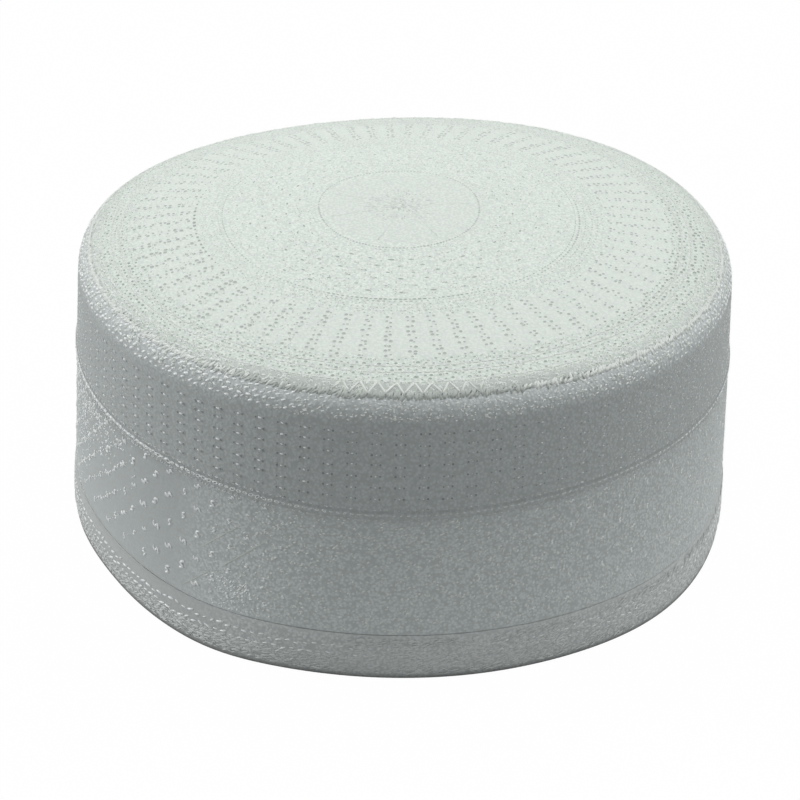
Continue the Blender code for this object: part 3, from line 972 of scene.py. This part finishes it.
HEM_FACING = 0.0060
HEM_FOLD = 0.0022
RIM_ROUND = 0.0009
hem_top = HEM_HEIGHT + HEM_FACING
facing_run = RIM_RUN - hem_top / math.cos(TAPER)
hem_start = HEM_RUN + HEM_ROUND + 0.0003
hem_end = RIM_RUN - HEM_ROUND - 0.0003
# The section starts at the top of the inner ply, goes down between the plies to the fold and up
# again, then down the outer face and back up inside.
hem_rows = [
    (*wall_point(hem_top, PLY_OUTER), facing_run),
    (*wall_point(HEM_HEIGHT, PLY_OUTER), HEM_RUN),
    (*wall_point(HEM_FOLD, PLY_OUTER), RIM_RUN - HEM_FOLD),
    (*wall_point(HEM_FOLD, PLY), RIM_RUN - HEM_FOLD),
    (*wall_point(HEM_HEIGHT, PLY), HEM_RUN),
]
hem_rows += corner_rows(wall_point(HEM_HEIGHT), (-1.0, 0.0), (0.0, -1.0), HEM_ROUND, HEM_RUN)
hem_rows += face_rows(np.linspace(hem_start, hem_end, 24), 0.0, hem_swell)
hem_rows += corner_rows(wall_point(0.0), (0.0, 1.0), (-1.0, 0.0), RIM_ROUND, RIM_RUN)
hem_rows += corner_rows(wall_point(0.0, PLY_INNER), (1.0, 0.0), (0.0, 1.0), RIM_ROUND, RIM_RUN)
hem_rows += [(*wall_point(level, PLY_INNER), RIM_RUN - level)
             for level in np.linspace(HEM_HEIGHT / 2, hem_top, 6)]
hem_cloth = spun_cloth("hem_cloth", hem_rows, True)
# The hem's cotton is the crown's white painted darker, a painted shade. Its bands paint it lighter, then dark
# along the bottom edge as a painted shadow, and a quiet patch at the front left is painted darker.
HEM_SHADED_WHITE = (0.507, 0.526, 0.519)
HEM_HOLLOW_SHADE = (0.325, 0.34, 0.335)
HEM_QUIET = (0.095, 0.095, 0.1500)
HEM_BANDS = [
    (0.0, 0.5, 1.34), (0.1503, 0.5, 1.34), (0.1515, 0.85, 1.42), (0.1610, 0.8, 1.40), (0.1619, 0.7, 0.80),
    (0.1625, 0.7, 0.42), (0.1630, 0.7, 0.34),
]
hem_cotton = cloth_material("hem_cotton", HEM_SHADED_WHITE, HEM_HOLLOW_SHADE, False, HEM_BANDS, HEM_QUIET)
hem_cloth.data.materials.append(hem_cotton)
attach(hem_cloth, "root")
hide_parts("hem_band")

hem_thread = thread_material("hem_thread", (0.72, 0.75, 0.73), 0.6, 0.4)
HEM_STITCHES = 256
HEM_STITCH_WIDTH = 0.00072
HEM_STITCH_HEIGHT = 0.00024
HEM_ROWS = [
    # run, length of stitch, thread, sides and rings of a stitch
    (0.1539, 0.00195, white_thread, 5, 4),
    (0.1562, 0.00205, white_thread, 5, 4),
    (0.1576, 0.00240, hem_thread, 4, 3),
    (0.1590, 0.00250, hem_thread, 4, 3),
    (0.1605, 0.00230, hem_thread, 4, 3),
]
for index, (run, length, thread, sides, rings) in enumerate(HEM_ROWS):
    hem_turns = evenly(HEM_STITCHES, 0.5 * index)
    slant = -0.08 - 0.30 * near(hem_turns, 210.0, 16.0)
    hem_stitch = raised_stitch(1.1 * length, HEM_STITCH_WIDTH, HEM_STITCH_HEIGHT, sides, rings)
    sew(f"hem_row_{index + 1}", "hem_cloth", thread, hem_stitch, hem_turns,
        run + chance.normal(0.0, 0.00022, HEM_STITCHES), heights=hem_swell(run),
        leans=slant + chance.normal(0.0, 0.22, HEM_STITCHES),
        sizes=chance.uniform(0.7, 1.2, HEM_STITCHES) * (1.1 * worn_flat(hem_turns) - 0.1))

HEM_SEEDS = 2300
HEM_SEED = (0.00215, 0.00047, 0.00014)
HEM_SEED_TURNS = (190.0, 372.0)
HEM_SEED_END = 0.1612
hem_seed_turns = np.radians(chance.uniform(*HEM_SEED_TURNS, HEM_SEEDS))
hem_seed_tops = np.where(hem_seed_turns < math.radians(262.0), 0.1566, 0.1511)
sew("hem_seeds", "hem_cloth", hem_thread, raised_stitch(*HEM_SEED, sides=4, rings=3),
    hem_seed_turns, chance.uniform(hem_seed_tops, HEM_SEED_END), heights=HEM_SWELL,
    leans=chance.normal(-0.25, 0.12, HEM_SEEDS), sizes=chance.uniform(0.6, 1.0, HEM_SEEDS))

FELLED = 90
FELLED_STITCH = (0.0013, 0.00060, 0.00010)
felled_turns = np.radians(np.linspace(180.0, 231.0, FELLED))
felled_fade = np.clip((233.0 - np.degrees(felled_turns)) / 9.0, 0.2, 1.0)
sew("hem_felling", "hem_cloth", seam_thread, raised_stitch(*FELLED_STITCH), felled_turns,
    HEM_RUN + 0.0001, sizes=felled_fade * chance.uniform(0.85, 1.05, FELLED))


# Crown seam: the joined edges are overcast all round, over a dense ground band with needle pricks
# in it. A zigzag lies open at the front, and rows of satin stitches quilt the rolled shoulder.
ZIGZAGS = 124
ZIGZAG_TOP = 0.0818
ZIGZAG_FOOT = 0.0853
ZIGZAG_WIDTH = 0.00062
ZIGZAG_HEIGHT = 0.00016
zigzag_step = FULL_TURN / ZIGZAGS
half_step = 0.25 * zigzag_step * SHOULDER_RADIUS
leg_length = math.hypot(ZIGZAG_FOOT - ZIGZAG_TOP, 2.0 * half_step)
leg_lean = math.atan2(2.0 * half_step, ZIGZAG_FOOT - ZIGZAG_TOP)
leg = np.arange(2 * ZIGZAGS)
leg_turns = (leg + 0.5) * 0.5 * zigzag_step


def neat_front(turns):
    """Where the zigzag lies open and even, at the front; elsewhere it is lost among the beads."""
    return near(turns, 270.5, 11.5, 4)


leg_neat = neat_front(leg_turns)
leg_kept = leg_neat > 0.25
leg_leans = np.where(leg % 2 == 0, leg_lean, -leg_lean) + chance.normal(0.0, 0.07, leg.size)
leg_sizes = chance.uniform(0.88, 1.04, leg.size) * (0.4 + 0.6 * leg_neat)
sew("seam_zigzag", "crown_cloth", ground_thread,
    long_stitch(leg_length, ZIGZAG_WIDTH, ZIGZAG_HEIGHT), leg_turns[leg_kept],
    0.5 * (ZIGZAG_TOP + ZIGZAG_FOOT), heights=0.00008, leans=leg_leans[leg_kept], sizes=leg_sizes[leg_kept])

SEAM_HOLE = (0.00058, 0.00058)
foot_turns = np.arange(ZIGZAGS) * zigzag_step
foot_turns = foot_turns[np.abs(angle_from(foot_turns, 263.0)) < 25.0]
sew("seam_holes", "wall_cloth", wall_hole, needle_hole(*SEAM_HOLE), foot_turns,
    ZIGZAG_FOOT + 0.0002, heights=0.00014)

OVERCAST_STITCHES = 900
OVERCAST_STITCH = (0.0021, 0.00085, 0.00012)
OVERCAST_RUN = 0.0855
SEAM_PAINTED_SHADE_REACH = 26.0
overcast_turns = evenly(OVERCAST_STITCHES, jitter=chance.uniform(-0.2, 0.2, OVERCAST_STITCHES))
overcast_leans = chance.normal(0.55, 0.38, OVERCAST_STITCHES) * (1.0 - 0.7 * neat_front(overcast_turns))
overcast_runs = OVERCAST_RUN + chance.normal(0.0, 0.00018, OVERCAST_STITCHES)
overcast_sizes = chance.uniform(0.82, 1.12, OVERCAST_STITCHES)
painted_shade_reach = chance.uniform(0.5, 1.5, OVERCAST_STITCHES) * SEAM_PAINTED_SHADE_REACH
# At the front the overcast is in the grey seam thread, a painted shade along the seam; elsewhere it is in the
# paler ground thread.
in_front = np.abs(angle_from(overcast_turns, 268.0)) < painted_shade_reach
for name, part, thread in (("front", in_front, seam_thread), ("round", ~in_front, ground_thread)):
    sew(f"seam_overcast_{name}", "wall_cloth", thread,
        long_stitch(*OVERCAST_STITCH, cuts=1), overcast_turns[part],
        overcast_runs[part], heights=0.00007, leans=overcast_leans[part], sizes=overcast_sizes[part])

SEAM_PITS = 1300
SEAM_PIT = (0.00088, 0.00074)
PIT_RUNS = (0.0832, 0.0895)
pit_turns = chance.uniform(0.0, FULL_TURN, SEAM_PITS)
pit_sizes = chance.uniform(0.5, 1.25, SEAM_PITS) * (1.0 - near(pit_turns, 270.0, 30.0, 4))
pitted = pit_sizes > SMALLEST_HOLE
sew("seam_pits", "wall_cloth", crown_hole, needle_prick(*SEAM_PIT), pit_turns[pitted],
    chance.uniform(*PIT_RUNS, pitted.sum()), heights=0.00010,
    leans=chance.uniform(0.0, math.pi, pitted.sum()), sizes=pit_sizes[pitted])

BAND_STITCHES = 3700
BAND_STITCH = (0.00110, 0.00054, 0.00019)
BAND_RUNS = (0.0818, 0.0918)
band_turns = chance.uniform(0.0, FULL_TURN, BAND_STITCHES)
sew("seam_band", "wall_cloth", ground_thread, raised_stitch(*BAND_STITCH, sides=4, rings=3),
    band_turns, chance.uniform(*BAND_RUNS, BAND_STITCHES), leans=chance.normal(-0.5, 0.6, BAND_STITCHES),
    sizes=chance.uniform(0.5, 1.0, BAND_STITCHES) * (0.9 - 0.35 * worn_flat(band_turns)))

SHOULDER_STITCHES = 250
SHOULDER_STITCH = (0.00165, 0.00078, 0.00027)
SMALLEST_BEAD = 0.05
SHOULDER_ROWS = [
    # run, size, whether it lies under the zigzag
    (0.0825, 0.6, True),
    (0.0840, 0.8, True),
    (0.0855, 0.9, True),
    (0.0868, 1.0, False),
    (0.0880, 0.95, False),
    (0.0893, 1.05, False),
    (0.0906, 1.0, False),
]
for index, (run, size, under_zigzag) in enumerate(SHOULDER_ROWS):
    bead_turns = evenly(SHOULDER_STITCHES, 0.5 * index, chance.normal(0.0, 0.10, SHOULDER_STITCHES))
    bead_sizes = chance.uniform(0.68, 1.12, SHOULDER_STITCHES) * (1.1 * worn_flat(bead_turns) - 0.1) * size
    if under_zigzag:
        at_back = near(bead_turns, 90.0, 88.0, 8)
        bead_sizes = bead_sizes * (1.0 - neat_front(bead_turns)) * (1.0 - 0.8 * at_back)
    sew(f"shoulder_row_{index + 1}", "wall_cloth", white_thread,
        raised_stitch(*SHOULDER_STITCH, sides=5), bead_turns,
        run + chance.normal(0.0, 0.00022, SHOULDER_STITCHES),
        leans=chance.normal(-0.28, 0.24, SHOULDER_STITCHES), sizes=bead_sizes.clip(SMALLEST_BEAD, None))


# Floor: a plain white board that the cap stands on, wide enough to fill every view. The camera
# sees it as an even white, and the cap's own light comes back off it.
FLOOR_SIDE = 8.0
FLOOR_WHITE = (0.75, 0.755, 0.75, 1.0)
FLOOR_ROUGHNESS = 0.95
FLOOR_EVEN_SHARE = 0.985
bm = bmesh.new()
bmesh.ops.create_grid(bm, x_segments=1, y_segments=1, size=0.5 * FLOOR_SIDE)
floor = new_piece("floor", made_mesh(bm, "floor"))
floor_paint, paint, board = new_material("floor_paint")
board.inputs["Base Color"].default_value = FLOOR_WHITE
board.inputs["Roughness"].default_value = FLOOR_ROUGHNESS
bright = add_node(paint, "ShaderNodeEmission", Color=(1.0, 1.0, 1.0, 1.0), Strength=1.0)
seen = add_node(paint, "ShaderNodeLightPath").outputs["Is Camera Ray"]
seen_share = sum_of(paint, "MULTIPLY", seen, FLOOR_EVEN_SHARE)
mixed = add_node(paint, "ShaderNodeMixShader", i0=seen_share, i1=board.outputs[0], i2=bright.outputs[0])
paint.links.new(mixed.outputs[0], paint.nodes["Material Output"].inputs["Surface"])
floor.data.materials.append(floor_paint)


# Light: one wide soft box overhead, a low fill all round, and a weak window on each side. The
# windows stand low enough to rake over the stitches of the wall.
LAMPS = [
    # name, place, aim, width, power
    ("overhead", (0.0, 0.15, 1.1), (0.0, 0.0, 0.0), 1.0, 7.8),
    ("left_window", (-1.35, 0.2, 0.36), (0.0, 0.0, 0.04), 0.32, 7.0),
    ("right_window", (1.3, 0.25, 0.62), (0.0, 0.0, 0.04), 0.9, 6.2),
]
for name, place, aim, width, power in LAMPS:
    lamp = bpy.data.lights.new(name, "AREA")
    lamp.shape = "SQUARE"
    lamp.size = width
    lamp.energy = power
    box = new_piece(name, lamp)
    box.location = place
    box.rotation_mode = "QUATERNION"
    box.rotation_quaternion = (Vector(aim) - Vector(place)).to_track_quat("-Z", "Y")
FILL_COLOUR = (0.95, 0.98, 1.0, 1.0)
FILL_STRENGTH = 0.25
world = bpy.data.worlds.new("studio")
world.use_nodes = True
world.node_tree.nodes["Background"].inputs["Color"].default_value = FILL_COLOUR
world.node_tree.nodes["Background"].inputs["Strength"].default_value = FILL_STRENGTH
bpy.context.scene.world = world
bpy.context.scene.view_settings.view_transform = "Standard"


# Camera: a little above the cap and in front of it, looking down at about thirty degrees with a
# long lens. It is rolled a little, as the photograph is.
VIEW_POINT = Vector((0.00048, 0.00085, 0.0250))
VIEW_DISTANCE = 0.528
VIEW_LIFT = math.radians(30.55)
VIEW_ROLL = math.radians(-0.683)
VIEW_LENS = 84.37
backward = Vector((0.0, -math.cos(VIEW_LIFT), math.sin(VIEW_LIFT)))
image_down = Vector((0.0, -math.sin(VIEW_LIFT), -math.cos(VIEW_LIFT)))
image_right = math.cos(VIEW_ROLL) * Vector((1.0, 0.0, 0.0)) + math.sin(VIEW_ROLL) * image_down
image_up = backward.cross(image_right)
camera_data = bpy.data.cameras.new("camera")
camera_data.lens = VIEW_LENS
camera_data.sensor_width = 36.0
camera_data.clip_start = 0.01
camera_data.clip_end = 50.0
camera = new_piece("camera", camera_data)
camera_axes = Matrix((image_right, image_up, backward)).transposed().to_4x4()
camera.matrix_world = Matrix.Translation(VIEW_POINT + VIEW_DISTANCE * backward) @ camera_axes
bpy.context.scene.camera = camera
